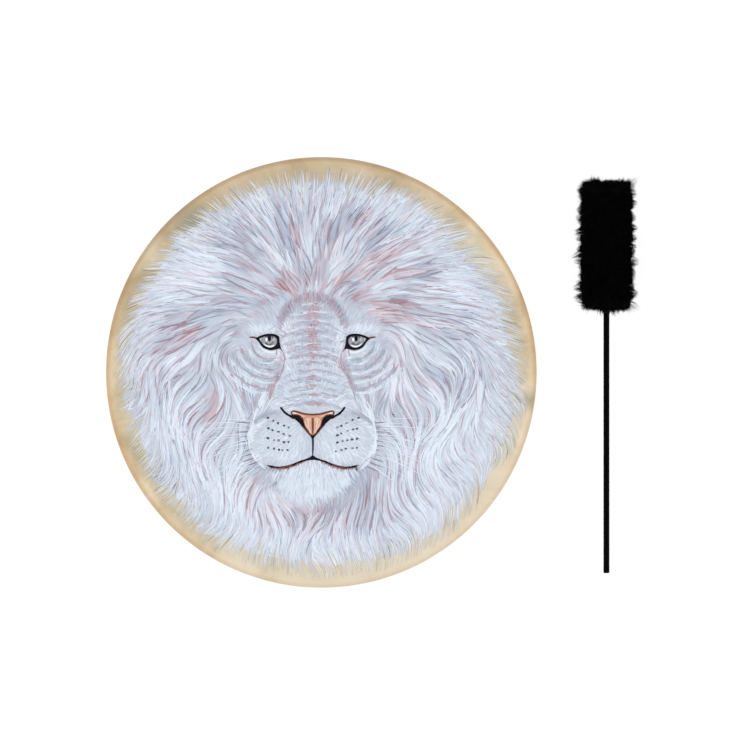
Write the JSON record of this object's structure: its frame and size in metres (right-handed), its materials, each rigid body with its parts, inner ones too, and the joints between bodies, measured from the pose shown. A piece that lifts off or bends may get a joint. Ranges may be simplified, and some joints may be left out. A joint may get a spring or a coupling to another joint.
{
  "type": "frame drum with beater",
  "caption": "Round hide-covered frame drum with a laced cross handle and ring at the back, and a long thin beater with a furry head beside it.",
  "frame": {"origin": "centre of the drumhead's outer face, on the drum's axis", "axes": "+Z out of the drumhead along the drum's axis; +Y towards the top of the painted picture; +X towards the beater, which lies along Y"},
  "size_m": [0.5588, 0.4572, 0.0644],
  "materials": {
    "skin": "stretched rawhide head, cream to amber, satin, painted on its face",
    "hoop_wood": "bent ash plies, oiled",
    "ring_steel": "satin steel wire ring",
    "rawhide": "dried rawhide lace, slightly glossy",
    "handle_leather": "dark brown wound leather",
    "rod_black": "satin black fibre rod",
    "core_wood": "bare wood, hidden",
    "felt": "wound grey wool felt, hidden",
    "fur": "short dense black fur",
    "thread": "waxed black thread"
  },
  "bodies": {
    "drum": {"drumhead_skin": "skin", "hoop_ply_outer": "hoop_wood", "hoop_ply_middle": "hoop_wood", "hoop_ply_inner": "hoop_wood", "handle_ring": "ring_steel", "lace_right": "rawhide", "lace_top": "rawhide", "lace_left": "rawhide", "lace_bottom": "rawhide", "handle_wrap_right": "handle_leather", "handle_wrap_top": "handle_leather", "handle_wrap_left": "handle_leather", "handle_wrap_bottom": "handle_leather"},
    "beater": {"beater_rod": "rod_black", "beater_core": "core_wood", "beater_padding": "felt", "beater_fur_cover": "fur", "beater_neck_binding": "thread"}
  },
  "joints": [
    {"name": "beater_lift", "type": "slide", "parent": "drum", "child": "beater", "axis": [0, 0, 1], "range_m": [0, 0.25]}
  ]
}
